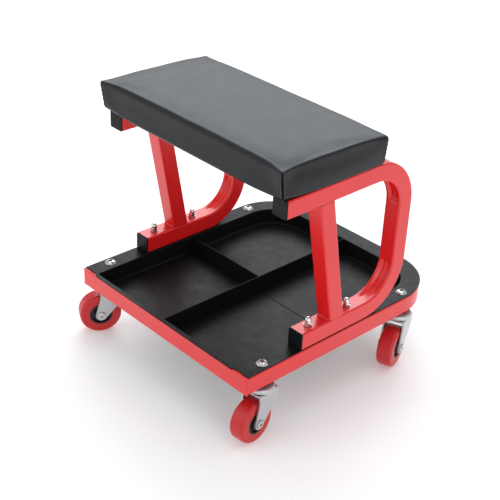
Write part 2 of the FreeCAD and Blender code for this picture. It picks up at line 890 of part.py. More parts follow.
def caster_bolt(name):
    """Button-head bolt down through the tray and the rail: it is the caster's swivel pin."""
    radius, rise, shank = dim["button_radius"], dim["button_height"], dim["stem_radius"]
    rim = 0.6
    crown = rise.value - rim
    body = turned(
        name,
        (0, crown_bottom - dim["kingpin_nut_height"]),
        (shank, crown_bottom - dim["kingpin_nut_height"]),
        (shank, flange_top),
        (radius, flange_top),
        (radius, flange_top + rim),
        (0, flange_top + rise, (radius.value**2 + crown**2) / (2 * crown)),
        (0, crown_bottom - dim["kingpin_nut_height"]),
    )
    socket_flats, socket_depth = 6.0, 3.0
    socket = sketch_on(body, "XY", flange_top + rise)
    draw_hexagon(socket, sized(socket_flats))
    pocket(body, socket, socket_depth)
    return body


def build_stem_fasteners():
    """Caster bolts, the nuts between race and rail, and the thin nuts under the crowns."""
    bolts, spacers, kingpins = [], [], []
    spacer_height = dim["rail_bottom"] - dim["race_top"]
    bore = dim["stem_radius"] + FITTED_PLAY
    for caster, (side, at, turn) in CASTERS.items():
        x, y = side * rail_at, dim[at]
        bolts.append(caster_bolt(f"{caster}_bolt"))
        spacers.append(hex_nut(f"{caster}_spacer_nut", dim["stem_nut_flats"], spacer_height, bore))
        kingpins.append(
            hex_nut(f"{caster}_kingpin_nut", dim["stem_nut_flats"] - 1, dim["kingpin_nut_height"], bore)
        )
        place(bolts[-1], x, y, turn=turn)
        place(spacers[-1], x, y, dim["race_top"], turn=turn)
        place(kingpins[-1], x, y, crown_bottom - dim["kingpin_nut_height"], turn=turn)
    group("caster_bolts", bolts)
    group("spacer_nuts", spacers)
    group("kingpin_nuts", kingpins)


def build_raceway(caster, x, y):
    """Pressed upper ball race, a shallow cup open downwards."""
    bore = dim["stem_radius"] + FITTED_PLAY
    outer, top = dim["race_radius"], dim["race_top"]
    ball_top = dim["crown_top"] + dim["ball_radius"] * 2 + FITTED_PLAY * 2
    skirt_gap, skirt_wall, shoulder = 0.9, 1.8, 2.2
    skirt_bottom = dim["crown_top"] + skirt_gap
    skirt_inner = outer - skirt_wall
    body = turned(
        f"{caster}_raceway",
        (bore, ball_top),
        (skirt_inner, ball_top),
        (skirt_inner, skirt_bottom),
        (outer, skirt_bottom),
        (outer, top - shoulder),
        (outer - shoulder, top, shoulder),
        (bore, top),
        (bore, ball_top),
    )
    place(body, x, y)
    return keep(body)


def build_balls(caster, x, y):
    """Loose balls between the crown and the upper race."""
    balls = []
    for n in range(BALLS):
        ball = doc.addObject("Part::Sphere", f"{caster}_ball")
        bind(ball, "Radius", dim["ball_radius"])
        angle = 2 * math.pi * n / BALLS
        height = dim["crown_top"] + dim["ball_radius"] + FITTED_PLAY
        place(ball, dim["ball_pitch"] * math.cos(angle), dim["ball_pitch"] * math.sin(angle), height)
        balls.append(ball)
    cluster = group(f"{caster}_balls", balls)
    place(cluster, x, y)


def draw_cheek(sketch):
    """Side outline of the fork: a crown over the swivel pin, tapering to a round end at the axle."""
    half, top, low = dim["crown_half"].value, dim["crown_top"].value, shoulder_height.value
    trail, axle, end = dim["trail"].value, dim["wheel_radius"].value, dim["cheek_end"].value
    tangents = []
    for sign, corner in ((1, Vector(half, low, 0)), (-1, Vector(-half, low, 0))):
        to_corner = corner - Vector(trail, axle, 0)
        swing = math.atan2(to_corner.y, to_corner.x) - sign * math.acos(end / to_corner.Length)
        tangents.append(Vector(trail + end * math.cos(swing), axle + end * math.sin(swing), 0))
    right_end, left_end = tangents
    corners = [Vector(half, top, 0), Vector(half, low, 0), Vector(-half, low, 0), Vector(-half, top, 0)]
    crown = sketch.addGeometry(Part.LineSegment(corners[3], corners[0]), False)
    rear = sketch.addGeometry(Part.LineSegment(corners[0], corners[1]), False)
    rear_taper = sketch.addGeometry(Part.LineSegment(corners[1], right_end), False)
    angles = [math.atan2(p.y - axle, p.x - trail) for p in (left_end, right_end)]
    circle = Part.Circle(Vector(trail, axle, 0), Vector(0, 0, 1), end)
    round_end = sketch.addGeometry(Part.ArcOfCircle(circle, *angles), False)
    front_taper = sketch.addGeometry(Part.LineSegment(left_end, corners[2]), False)
    front = sketch.addGeometry(Part.LineSegment(corners[2], corners[3]), False)
    pin_point(sketch, crown, 1, -dim["crown_half"], dim["crown_top"])
    pin_point(sketch, crown, 2, dim["crown_half"], dim["crown_top"])
    pin_point(sketch, rear, 2, dim["crown_half"], shoulder_height)
    pin_point(sketch, front, 1, -dim["crown_half"], shoulder_height)
    pin_point(sketch, round_end, 3, dim["trail"], dim["wheel_radius"])
    constrain(sketch, "Radius", round_end, size=dim["cheek_end"])
    constrain(sketch, "Coincident", crown, 2, rear, 1)
    constrain(sketch, "Coincident", rear, 2, rear_taper, 1)
    constrain(sketch, "Tangent", rear_taper, 2, round_end, 2)
    constrain(sketch, "Tangent", round_end, 1, front_taper, 1)
    constrain(sketch, "Coincident", front_taper, 2, front, 1)
    constrain(sketch, "Coincident", front, 2, crown, 1)


def build_fork(caster, x, y, turn):
    """Pressed fork: crown plate with two tapering cheeks."""
    body = new_body(f"{caster}_fork")
    side = sketch_on(body, "XZ")
    draw_cheek(side)
    pad(body, side, cheek_outside * 2, symmetric=True)
    inner_bend, shoulder_round = 1, 14
    fillet(body, shoulder_round, lambda edge: lies_at(edge, 2, shoulder_height))
    bend = dim["cheek_thick"] + inner_bend
    fillet(body, bend, lambda edge: lies_at(edge, 2, dim["crown_top"]) and is_along(edge, 0))
    gap = sketch_on(body, "YZ")
    draw_box(gap, 0, crown_bottom / 2, dim["cheek_gap"] / 2, crown_bottom / 2, sized(inner_bend))
    pocket(body, gap, (dim["trail"] + dim["crown_half"] + dim["cheek_end"]) * 2, symmetric=True)
    drill(body, dim["crown_top"] + 1, dim["cheek_thick"] + 2, [(0, 0)], dim["stem_radius"] + TURNING_PLAY)
    axle_hole = sketch_on(body, "XZ")
    draw_circle(axle_hole, dim["trail"], dim["wheel_radius"], dim["axle_radius"] + FITTED_PLAY)
    pocket(body, axle_hole, cheek_outside * 2 + 2, symmetric=True)
    place(body, x, y, turn=turn)
    return keep(body)


def build_axle(caster):
    """Axle with a riveted head outside each cheek."""
    head, rise, shank = dim["axle_head"], dim["axle_head_height"], dim["axle_radius"]
    rim, dimple = 1.0, 2.2
    return wheel_turned(
        f"{caster}_axle",
        (0, -cheek_outside - rise + rim),
        (dimple, -cheek_outside - rise + rim),
        (dimple, -cheek_outside - rise),
        (head - rim, -cheek_outside - rise),
        (head, -cheek_outside - rise + rim, rim),
        (head, -cheek_outside),
        (shank, -cheek_outside),
        (shank, cheek_outside),
        (head, cheek_outside),
        (head, cheek_outside + rise - rim),
        (head - rim, cheek_outside + rise, rim),
        (dimple, cheek_outside + rise),
        (dimple, cheek_outside + rise - rim),
        (0, cheek_outside + rise - rim),
        (0, -cheek_outside - rise + rim),
    )


def build_bush(caster):
    """Steel sleeve clamped between the cheeks, on which the hub turns."""
    inner, outer, half = dim["axle_radius"] + FITTED_PLAY, dim["bush_radius"], dim["cheek_gap"] / 2
    return wheel_turned(
        f"{caster}_bush",
        (inner, -half),
        (outer, -half),
        (outer, half),
        (inner, half),
        (inner, -half),
    )


def build_hub(caster):
    """Moulded wheel centre: a boss and a rim joined by a thinner dished web."""
    bore, rim, half = dim["bush_radius"] + TURNING_PLAY, dim["hub_radius"], dim["hub_half"]
    boss, rim_inner, web_half, draft = 9.5, rim - 2.2, 7.5, 1.0
    tread = dim["tread_half"]
    return wheel_turned(
        f"{caster}_hub",
        (bore, -half),
        (boss, -half),
        (boss + draft, -web_half),
        (rim_inner - draft, -web_half),
        (rim_inner, -tread),
        (rim, -tread),
        (rim, tread),
        (rim_inner, tread),
        (rim_inner - draft, web_half),
        (boss + draft, web_half),
        (boss, half),
        (bore, half),
        (bore, -half),
    )


def build_tread(caster):
    """Polyurethane tyre moulded on the hub, with rounded shoulders."""
    inner, outer, half = dim["hub_radius"], dim["wheel_radius"], dim["tread_half"]
    shoulder = 4.5
    return wheel_turned(
        f"{caster}_tread",
        (inner, -half),
        (outer - shoulder, -half),
        (outer, -half + shoulder, shoulder),
        (outer, half - shoulder),
        (outer - shoulder, half, shoulder),
        (inner, half),
        (inner, -half),
    )


def build_caster(caster, side, at, turn):
    """One swivel caster; its wheel trails the swivel axis the way that turn says."""
    x, y = side * rail_at, dim[at]
    build_raceway(caster, x, y)
    build_balls(caster, x, y)
    build_fork(caster, x, y, turn)
    wheel_x = x + dim["trail"] * math.cos(math.radians(turn))
    wheel_y = y + dim["trail"] * math.sin(math.radians(turn))
    for build in (build_axle, build_bush, build_hub, build_tread):
        piece = keep(build(caster))
        place(piece, wheel_x, wheel_y, dim["wheel_radius"], turn)


# ---------------------------------------------------------------- assembly

build_base_tube()
build_front_rail()
build_tray()
build_long_divider()
build_cross_divider()
for side_name in SIDES:
    build_leg(side_name)
    build_strut(side_name)
    build_cap(f"{side_name}_upper_cap", side_name, dim["upper_arm_end"], upper_arm)
    build_cap(f"{side_name}_lower_cap", side_name, dim["lower_arm_end"], lower_arm)
    build_leg_fasteners(side_name)
build_seat_board()
build_seat_pad()
build_seat_screws()
build_stem_fasteners()
for caster_name, (side_sign, swivel_at, rest_turn) in CASTERS.items():
    build_caster(caster_name, side_sign, swivel_at, rest_turn)

doc.recompute()

for thing in doc.Objects:
    if "Invalid" in thing.State or "Error" in thing.State:
        raise RuntimeError(f"{thing.Label}: {thing.State}")
for node in nodes:
    if node.Shape.isNull() or not node.Shape.isValid() or not node.Shape.Solids:
        raise RuntimeError(f"{node.Label}: its shape is not a valid solid")

os.makedirs("parts", exist_ok=True)
for node in nodes:
    node.Shape.exportStep(f"parts/{node.Label}.step")
    box = node.Shape.BoundBox
    print(f"{node.Label}: {len(node.Shape.Solids)} solids, {node.Shape.Volume:.0f} mm3,", box)
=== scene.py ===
import json
import math
from itertools import product

import bmesh
import bpy
from mathutils import Matrix, Vector, kdtree, noise


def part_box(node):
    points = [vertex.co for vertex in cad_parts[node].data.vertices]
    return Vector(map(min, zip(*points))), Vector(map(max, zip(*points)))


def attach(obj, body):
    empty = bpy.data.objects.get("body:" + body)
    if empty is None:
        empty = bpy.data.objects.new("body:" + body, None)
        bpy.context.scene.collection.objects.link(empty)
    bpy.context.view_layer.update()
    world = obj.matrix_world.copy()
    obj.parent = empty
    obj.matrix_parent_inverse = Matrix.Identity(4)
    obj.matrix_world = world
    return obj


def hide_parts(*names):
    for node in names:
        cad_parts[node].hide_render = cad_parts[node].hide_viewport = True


# Mechanic's creeper seat: the final surfaces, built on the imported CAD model.
# Metres, +Z up, the front towards -Y, the origin on the floor under the middle of the base.

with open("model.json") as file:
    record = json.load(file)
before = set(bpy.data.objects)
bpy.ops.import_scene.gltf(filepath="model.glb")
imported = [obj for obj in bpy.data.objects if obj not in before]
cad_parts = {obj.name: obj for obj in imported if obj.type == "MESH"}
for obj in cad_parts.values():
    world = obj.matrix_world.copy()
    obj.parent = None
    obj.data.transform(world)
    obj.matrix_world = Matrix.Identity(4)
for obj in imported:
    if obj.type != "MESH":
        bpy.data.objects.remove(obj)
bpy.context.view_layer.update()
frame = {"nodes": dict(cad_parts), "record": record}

MM = 0.001
SIDES = ("left", "right")


def smoothstep(low, high, x):
    t = min(max((x - low) / (high - low), 0), 1)
    return t * t * (3 - 2 * t)


def hump(x, width):
    """1 at zero, falling smoothly to 0 over about two widths."""
    return math.exp(-((x / width) ** 2))


# ---------------------------------------------------------------- materials


class Finish:
    """One material's nodes. Patterns are placed by the object's own coordinates, in metres."""

    def __init__(self, name, **surface):
        self.material = bpy.data.materials.new(name)
        self.material.use_nodes = True
        self.tree = self.material.node_tree
        self.surface = self.tree.nodes["Principled BSDF"]
        self.where = self.node("ShaderNodeTexCoord").outputs["Object"]
        self.set(surface)

    def set(self, inputs, node=None):
        """Give inputs a value each, or join them to another node's output."""
        node = node or self.surface
        for name, value in inputs.items():
            socket = node.inputs[name]
            if isinstance(value, bpy.types.NodeSocket):
                self.tree.links.new(value, socket)
            elif socket.type == "RGBA" and len(value) == 3:
                socket.default_value = (*value, 1)
            else:
                socket.default_value = value

    def node(self, kind, inputs=None, **settings):
        made = self.tree.nodes.new(kind)
        for name, value in settings.items():
            setattr(made, name, value)
        self.set(inputs or {}, made)
        return made

    def stretched(self, scale):
        return self.node("ShaderNodeMapping", {"Vector": self.where, "Scale": scale}).outputs[0]

    def noise(self, size, detail=2, stretch=None):
        """Cloudy pattern, 0 to 1, with blotches of about this size."""
        where = self.stretched(stretch) if stretch else self.where
        settings = {"Vector": where, "Scale": 1 / size, "Detail": detail}
        return self.node("ShaderNodeTexNoise", settings).outputs[0]

    def cells(self, size, feature="F1"):
        """Voronoi distances over cells of about this size."""
        settings = {"Vector": self.where, "Scale": 1 / size}
        return self.node("ShaderNodeTexVoronoi", settings, feature=feature).outputs["Distance"]

    def levels(self, value, low, high, to_low=0.0, to_high=1.0):
        """The value's span from low to high, stretched over another span and held at its ends."""
        inputs = {"Value": value, "From Min": low, "From Max": high, "To Min": to_low, "To Max": to_high}
        return self.node("ShaderNodeMapRange", inputs).outputs[0]

    def math(self, operation, a, b):
        """One sum on two values or outputs."""
        made = self.node("ShaderNodeMath", operation=operation)
        for socket, value in zip(made.inputs, (a, b)):
            if isinstance(value, bpy.types.NodeSocket):
                self.tree.links.new(value, socket)
            else:
                socket.default_value = value
        return made.outputs[0]

    def mix(self, share, a, b):
        """Colour a where share is 0, colour b where it is 1."""
        made = self.node("ShaderNodeMix", {"Factor": share}, data_type="RGBA")
        for index, value in ((6, a), (7, b)):
            if isinstance(value, bpy.types.NodeSocket):
                self.tree.links.new(value, made.inputs[index])
            else:
                made.inputs[index].default_value = (*value, 1)
        return made.outputs[2]

    def rounded(self, radius):
        """The normal with sharp edges softened to this radius."""
        return self.node("ShaderNodeBevel", {"Radius": radius}, samples=4).outputs[0]

    def edges(self, soft_normal):
        """1 along sharp edges, 0 on the faces."""
        flat = self.node("ShaderNodeNewGeometry").outputs["Normal"]
        dot = self.node("ShaderNodeVectorMath", operation="DOT_PRODUCT")
        self.tree.links.new(soft_normal, dot.inputs[0])
        self.tree.links.new(flat, dot.inputs[1])
        return self.levels(dot.outputs["Value"], 0.985, 0.80)

    def open_air(self, reach, low, high):
        """A mask for painted shade: 0 down in gaps, sockets and inside corners, rising to 1 where nothing
        stands within reach.
        """
        shelter = self.node("ShaderNodeAmbientOcclusion", {"Distance": reach}, samples=8)
        return self.levels(shelter.outputs["AO"], low, high)

    def bump(self, height, depth, normal=None, strength=1.0):
        inputs = {"Height": height, "Distance": depth, "Strength": strength}
        if normal is not None:
            inputs["Normal"] = normal
        return self.node("ShaderNodeBump", inputs).outputs[0]

    def scratches(self, length, width, turn, share):
        """Fine straight marks: 1 on a mark, 0 off it. Share is how much of the surface they take."""
        turned = self.node("ShaderNodeMapping", {"Vector": self.where, "Rotation": (0, 0, turn)}).outputs[0]
        scale = (1 / length, 1 / width, 1 / width)
        drawn = self.node("ShaderNodeMapping", {"Vector": turned, "Scale": scale})
        settings = {"Vector": drawn.outputs[0], "Scale": 1.0, "Detail": 1.0, "Roughness": 0.4}
        lines = self.node("ShaderNodeTexNoise", settings).outputs[0]
        return self.levels(lines, 0.72 - share, 0.76 - share)


def red_paint():
    """Gloss red powder coat: orange peel, a thinner coat along the edges, and painted shade down in gaps.
    """
    f = Finish("red_paint", **{"Coat Weight": 0.25, "Coat Roughness": 0.12, "IOR": 1.5})
    soft = f.rounded(0.9 * MM)
    body = f.mix(f.noise(60 * MM, 3), (0.72, 0.009, 0.011), (0.80, 0.015, 0.016))
    body = f.mix(f.math("MULTIPLY", f.edges(soft), 0.3), body, (0.80, 0.06, 0.05))
    # painted shade: the colour goes dark red down in gaps and inside corners, wherever other parts stand
    # close by
    f.set({"Base Color": f.mix(f.open_air(5 * MM, 0.12, 0.6), (0.10, 0.003, 0.003), body)})
    f.set({"Roughness": f.levels(f.noise(70 * MM, 2), 0.3, 0.7, 0.29, 0.33)})
    f.set({"Normal": f.bump(f.noise(2.2 * MM, 2), 0.04 * MM, soft)})
    return f.material


def black_paint():
    """Semi-gloss black enamel on sheet steel, with the faint scuffs that tools leave, and painted shade
    that weakens its reflection in gaps and where parts touch.
    """
    f = Finish("black_paint", IOR=1.5)
    soft = f.rounded(0.7 * MM)
    open_air = f.open_air(6 * MM, 0.25, 0.8)
    long_marks = f.scratches(60 * MM, 0.5 * MM, 0.6, 0.02)
    short_marks = f.scratches(45 * MM, 0.4 * MM, 2.2, 0.02)
    marks = f.math("MAXIMUM", long_marks, short_marks)
    body = f.mix(f.noise(45 * MM, 4), (0.0050, 0.0051, 0.0058), (0.0078, 0.0079, 0.0088))
    f.set({"Base Color": f.mix(f.math("MULTIPLY", marks, 0.3), body, (0.03, 0.03, 0.033))})
    # painted shade: the reflection fades in gaps and beside parts that touch, a painted contact shadow
    f.set({"Specular IOR Level": f.levels(open_air, 0, 1, 0.02, 0.13)})
    smooth = f.levels(f.noise(14 * MM, 4), 0.3, 0.7, 0.36, 0.46)
    f.set({"Roughness": f.math("ADD", smooth, f.math("MULTIPLY", marks, 0.1))})
    grain = f.bump(f.noise(0.9 * MM, 2), 0.035 * MM, soft)
    f.set({"Normal": f.bump(f.noise(30 * MM, 2), 0.35 * MM, grain)})
    return f.material


def cap_plastic():
    """Moulded black polyethylene with a fine matt texture."""
    f = Finish("cap_plastic", **{"IOR": 1.5, "Specular IOR Level": 0.18})
    soft = f.rounded(0.6 * MM)
    f.set({"Base Color": f.mix(f.noise(12 * MM, 3), (0.004, 0.0045, 0.0048), (0.007, 0.0076, 0.008))})
    f.set({"Roughness": f.levels(f.noise(4 * MM, 2), 0.3, 0.7, 0.42, 0.56)})
    f.set({"Normal": f.bump(f.noise(0.5 * MM, 2), 0.03 * MM, soft)})
    return f.material


def bare_metal(name, dark, light, low, high, edge_radius, spangle=None, metallic=1.0):
    """Plated or polished metal: clouded tone, fine marks, edges that catch the light, and painted shade in
    sockets, recesses and gaps.
    """
    f = Finish(name, Metallic=metallic)
    soft = f.rounded(edge_radius)
    cloud = f.noise(7 * MM, 4)
    if spangle:
        cloud = f.math("ADD", f.math("MULTIPLY", cloud, 0.6), f.math("MULTIPLY", f.cells(spangle), 0.5))
    marks = f.scratches(12 * MM, 0.25 * MM, 0.9, 0.03)
    tone = f.mix(f.levels(cloud, 0.3, 0.7), dark, light)
    bright = f.mix(f.math("MULTIPLY", marks, 0.3), tone, light)
    # painted shade: the colour goes near black in sockets, recesses and gaps
    f.set({"Base Color": f.mix(f.open_air(4 * MM, 0.3, 0.75), (0.03, 0.03, 0.032), bright)})
    rough = f.levels(cloud, 0.3, 0.7, high, low)
    f.set({"Roughness": f.math("ADD", rough, f.math("MULTIPLY", marks, 0.08))})
    f.set({"Normal": f.bump(f.noise(3 * MM, 3), 0.05 * MM, soft)})
    return f.material


def plywood():
    """Raw plywood: fibres along X on the faces, plies on the edges."""
    f = Finish("plywood", Roughness=0.78)
    fibre = f.noise(9 * MM, 6, stretch=(0.06, 1, 1))
    fine = f.noise(1.2 * MM, 3, stretch=(0.05, 1, 1))
    rings = f.noise(38 * MM, 2, stretch=(0.22, 1, 1))
    along_z = {"Vector": f.stretched((0, 0, 1)), "Scale": 62.0}
    bands = f.node("ShaderNodeTexWave", along_z, bands_direction="Z")
    tone = f.mix(f.levels(rings, 0.35, 0.65), (0.42, 0.27, 0.14), (0.55, 0.38, 0.22))
    tone = f.mix(f.levels(fibre, 0.45, 0.75, 0, 0.6), tone, (0.30, 0.18, 0.09))
    tone = f.mix(f.levels(bands.outputs[0], 0.55, 0.8, 0, 0.35), tone, (0.24, 0.15, 0.08))
    f.set({"Base Color": tone})
    f.set({"Normal": f.bump(fine, 0.12 * MM, f.rounded(0.5 * MM))})
    return f.material


def seat_vinyl():
    """Black upholstery vinyl: pebbled leather grain with a satin top coat, and painted shade that darkens
    its colour and reflection in gaps and creases.
    """
    f = Finish("seat_vinyl", IOR=1.5)
    open_air = f.open_air(5 * MM, 0.2, 0.7)
    body = f.mix(f.noise(55 * MM, 4), (0.0080, 0.0082, 0.0092), (0.0105, 0.0108, 0.0120))
    # painted shade: near-black colour and a weaker reflection in gaps, creases and under the rolled edges
    f.set({"Base Color": f.mix(open_air, (0.0012, 0.0012, 0.0014), body)})
    f.set({"Specular IOR Level": f.levels(open_air, 0, 1, 0.04, 0.31), "Specular Tint": (0.90, 0.95, 1.0)})
    f.set({"Roughness": f.levels(f.noise(20 * MM, 4), 0.3, 0.7, 0.385, 0.425)})
    pebbles = f.levels(f.cells(1.5 * MM, "DISTANCE_TO_EDGE"), 0.0, 0.16)
    pores = f.noise(0.5 * MM, 2)
    grain = f.bump(f.math("ADD", pebbles, f.math("MULTIPLY", pores, 0.4)), 0.05 * MM, strength=0.8)
    f.set({"Normal": f.bump(f.noise(14 * MM, 2), 0.08 * MM, grain)})
    return f.material


def hub_plastic():
    """Moulded black polypropylene."""
    f = Finish("hub_plastic", IOR=1.49)
    f.set({"Base Color": f.mix(f.noise(9 * MM, 3), (0.008, 0.008, 0.009), (0.015, 0.015, 0.016))})
    f.set({"Roughness": f.levels(f.noise(3 * MM, 3), 0.3, 0.7, 0.34, 0.5)})
    f.set({"Normal": f.bump(f.noise(0.6 * MM, 2), 0.03 * MM, f.rounded(0.5 * MM))})
    return f.material


def red_tread():
    """Cast red polyurethane: glossy, slightly translucent, dulled by dust."""
    f = Finish("red_tread", **{"IOR": 1.49, "Subsurface Weight": 0.12, "Subsurface Scale": 2 * MM})
    f.set({"Subsurface Radius": (1.0, 0.12, 0.1)})
    soft = f.rounded(0.8 * MM)
    dust = f.levels(f.noise(7 * MM, 5), 0.52, 0.75, 0, 0.16)
    body = f.mix(f.noise(25 * MM, 3), (0.50, 0.008, 0.010), (0.60, 0.013, 0.016))
    f.set({"Base Color": f.mix(dust, body, (0.36, 0.07, 0.065))})
    f.set({"Roughness": f.math("ADD", f.levels(f.noise(5 * MM, 3), 0.3, 0.7, 0.3, 0.4), dust)})
    f.set({"Normal": f.bump(f.noise(4 * MM, 3), 0.12 * MM, soft)})
    return f.material


def studio_floor():
    """Matt pale sweep with a barely visible mottle."""
    f = Finish("studio_floor", **{"Roughness": 0.75, "Specular IOR Level": 0.2})
    f.set({"Base Color": f.mix(f.noise(0.4, 3), (0.86, 0.865, 0.87), (0.88, 0.883, 0.887))})
    f.set({"Normal": f.bump(f.noise(8 * MM, 3), 0.05 * MM)})
    f.set({"Emission Color": (1.0, 1.0, 1.0), "Emission Strength": 0.2})
    return f.material


FINISHES = {
    "red_paint": red_paint(),
    "black_paint": black_paint(),
    "cap_plastic": cap_plastic(),
    "bright_chrome": bare_metal(
        "bright_chrome", (0.62, 0.63, 0.64), (0.82, 0.82, 0.83), 0.06, 0.13, 0.35 * MM
    ),
    "zinc_fasteners": bare_metal(
        "zinc_fasteners", (0.50, 0.51, 0.52), (0.70, 0.71, 0.72), 0.18, 0.3, 0.35 * MM
    ),
    "zinc_plate": bare_metal(
        "zinc_plate", (0.53, 0.54, 0.56), (0.585, 0.60, 0.62), 0.35, 0.41, 0.6 * MM, 4 * MM, 0.7
    ),
    "ball_steel": bare_metal(
        "ball_steel", (0.45, 0.45, 0.46), (0.65, 0.65, 0.66), 0.12, 0.25, 0.2 * MM
    ),
    "plywood": plywood(),
    "seat_vinyl": seat_vinyl(),
    "hub_plastic": hub_plastic(),
    "red_tread": red_tread(),
}


def paint_cad_nodes():
    """Every CAD node keeps its mesh and takes the finish of its material slot."""
    for subpart in frame["record"]["subparts"]:
        mesh = frame["nodes"][subpart["node"]].data
        mesh.materials.clear()
        mesh.materials.append(FINISHES[subpart["material_slot"]])


# ---------------------------------------------------------------- pieces


def new_piece(name, mesh, finish):
    """A shown piece in the row frame, riding on the root body."""
    piece = bpy.data.objects.new(name, mesh)
    bpy.context.scene.collection.objects.link(piece)
    mesh.materials.clear()
    mesh.materials.append(finish)
    for face in mesh.polygons:
        face.use_smooth = True
    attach(piece, "root")
    return piece


def mesh_from(name, points, faces):
    """A mesh from points and faces, with its faces turned outwards."""
    mesh = bpy.data.meshes.new(name)
    mesh.from_pydata([tuple(p) for p in points], [], faces)
    shape = bmesh.new()
    shape.from_mesh(mesh)
    bmesh.ops.recalc_face_normals(shape, faces=shape.faces)
    shape.to_mesh(mesh)
    shape.free()
    return mesh


def bridge(first, second):
    """Quads between two closed loops of point numbers."""
    around = len(first)
    return [
        (first[n], first[(n + 1) % around], second[(n + 1) % around], second[n]) for n in range(around)
    ]


# ---------------------------------------------------------------- legs

LEG_BEND = 63.5 * MM
TUBE_CORNER = 2.5 * MM
TUBE_WALL = 1.5 * MM
CAP_LIP = 2 * MM
BEND_STEPS = 36
CRUSH_DEPTH = 4 * MM
CRUSH_HALF_WIDTH = 9.5 * MM
CRUSH_SHORT_RAMP = math.radians(6)
CRUSH_LONG_RAMP = math.radians(22)
CRUSH_TONGUE = math.radians(8)


def tube_section(half, corner):
    """Points around a square tube: (across, towards the inside of the bend), face by face."""
    corner_steps, face_steps = 5, 16
    points = []
    for quarter in range(4):
        along = Vector((math.cos(quarter * math.pi / 2), math.sin(quarter * math.pi / 2)))
        out = Vector((along.y, -along.x))
        for n in range(face_steps + 1):
            place = (2 * n / face_steps - 1) * (half - corner)
            points.append(along * place + out * half)
        centre = (along + out) * (half - corner)
        for n in range(1, corner_steps):
            angle = n / corner_steps * math.pi / 2
            points.append(centre + (out * math.cos(angle) + along * math.sin(angle)) * corner)
    return points


def leg_stations(front_low, front_high, rear, low, high):
    """Places along the C-shaped spine: (y, z, direction, turn from the upright or None)."""
    stations = [(front_low, low, 0, None)]
    for turn, centre_z in ((0, low + LEG_BEND), (math.pi / 2, high - LEG_BEND)):
        for n in range(BEND_STEPS + 1):
            gone = n / BEND_STEPS * math.pi / 2
            angle = turn + gone - math.pi / 2
            y = rear - LEG_BEND + LEG_BEND * math.cos(angle)
            z = centre_z + LEG_BEND * math.sin(angle)
            stations.append((y, z, turn + gone, gone if turn else math.pi / 2 - gone))
    stations.append((front_high, high, math.pi, None))
    return stations


def crush(across, inwards, half, upright_gap):
    """How far a bend's inner wall is pressed in: a trough on each side of a low middle ridge.

    Upright_gap is the turn from the bend's end at the upright, or None off the bends.
    """
    if upright_gap is None or inwards < half - TUBE_CORNER or abs(across) >= CRUSH_HALF_WIDTH:
        return 0
    share = abs(across) / CRUSH_HALF_WIDTH
    tongue = CRUSH_TONGUE * share * share
    at_upright = smoothstep(tongue, tongue + CRUSH_SHORT_RAMP, upright_gap)
    at_arm = smoothstep(tongue * 2, tongue * 2 + CRUSH_LONG_RAMP, math.pi / 2 - upright_gap)
    ridge = 0.4 * hump(share, 0.26)
    valley = smoothstep(1, 0.5, share) * (1 - ridge)
    wrinkle = 1 + 0.06 * math.sin(upright_gap * 22)
    return CRUSH_DEPTH * at_upright * at_arm * valley * wrinkle


def build_leg(side):
    """The bent tube, whose inner wall is pressed in along both bends."""
    box_low, box_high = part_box(f"{side}_leg")
    centre_x = (box_low.x + box_high.x) / 2
    half = (box_high.x - box_low.x) / 2
    lower_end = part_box(f"{side}_lower_cap")[0].y + CAP_LIP
    stations = leg_stations(
        lower_end, box_low.y, box_high.y - half, box_low.z + half, box_high.z - half
    )
    points, rings = [], []
    for skin_half, corner in ((half, TUBE_CORNER), (half - TUBE_WALL, TUBE_CORNER - TUBE_WALL)):
        section = tube_section(skin_half, corner)
        loops = []
        for y, z, heading, upright_gap in stations:
            inside = Vector((0, -math.sin(heading), math.cos(heading)))
            loops.append(range(len(points), len(points) + len(section)))
            for across, inwards in section:
                shift = inwards - crush(across, inwards, skin_half, upright_gap)
                points.append(Vector((centre_x + across, y, z)) + inside * shift)
        rings.append(loops)
    faces = []
    for loops in rings:
        for first, second in zip(loops, loops[1:]):
            faces += bridge(first, second)
    for end in (0, -1):
        faces += bridge(rings[0][end], rings[1][end])
    leg = new_piece(f"{side}_bent_leg", mesh_from("leg", points, faces), FINISHES["red_paint"])
    leg.modifiers.new("flats", "WEIGHTED_NORMAL").keep_sharp = True
    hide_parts(f"{side}_leg")
    return leg


# ---------------------------------------------------------------- welds

STRUT_RUN = 26.5 * MM
FILLET_RADIUS = 2.3 * MM
FILLET_REACH = 0.35 * MM
FLUSH_RADIUS = 1.6 * MM
BEAD_STEP = 0.55 * MM
BEAD_PITCH = 2.3 * MM
BEAD_SEED = 1

# without a seed, noise_vector would take its offsets from the clock and each run would differ
noise.seed_set(BEAD_SEED)


def bead_mesh(name, start, end, radius, seed):
    """A rippled weld bead from start to end, swelling and thinning as it goes."""
    sides = 14
    run = end - start
    steps = max(int(run.length / BEAD_STEP), 8)
    along = run.normalized()
    up = along.orthogonal().normalized()
    side = along.cross(up)
    points = []
    for n in range(steps + 1):
        gone = n / steps
        travel = gone * run.length
        centre = start + run * gone
        centre = centre + noise.noise_vector(centre * 240 + Vector((seed, 0, 0))) * 0.25 * MM
        ripple = abs(math.sin(travel / BEAD_PITCH * math.pi))
        ends = math.sqrt(max(1 - (2 * gone - 1) ** 8, 0.02))
        size = radius * ends * (0.9 + 0.14 * ripple + 0.1 * noise.noise(centre * 400))
        for k in range(sides):
            angle = 2 * math.pi * k / sides
            points.append(centre + (up * math.cos(angle) + side * math.sin(angle)) * size)
    loops = [range(n * sides, (n + 1) * sides) for n in range(steps + 1)]
    faces = [tuple(loops[0]), tuple(loops[-1])]
    for first, second in zip(loops, loops[1:]):
        faces += bridge(first, second)
    return mesh_from(name, points, faces)


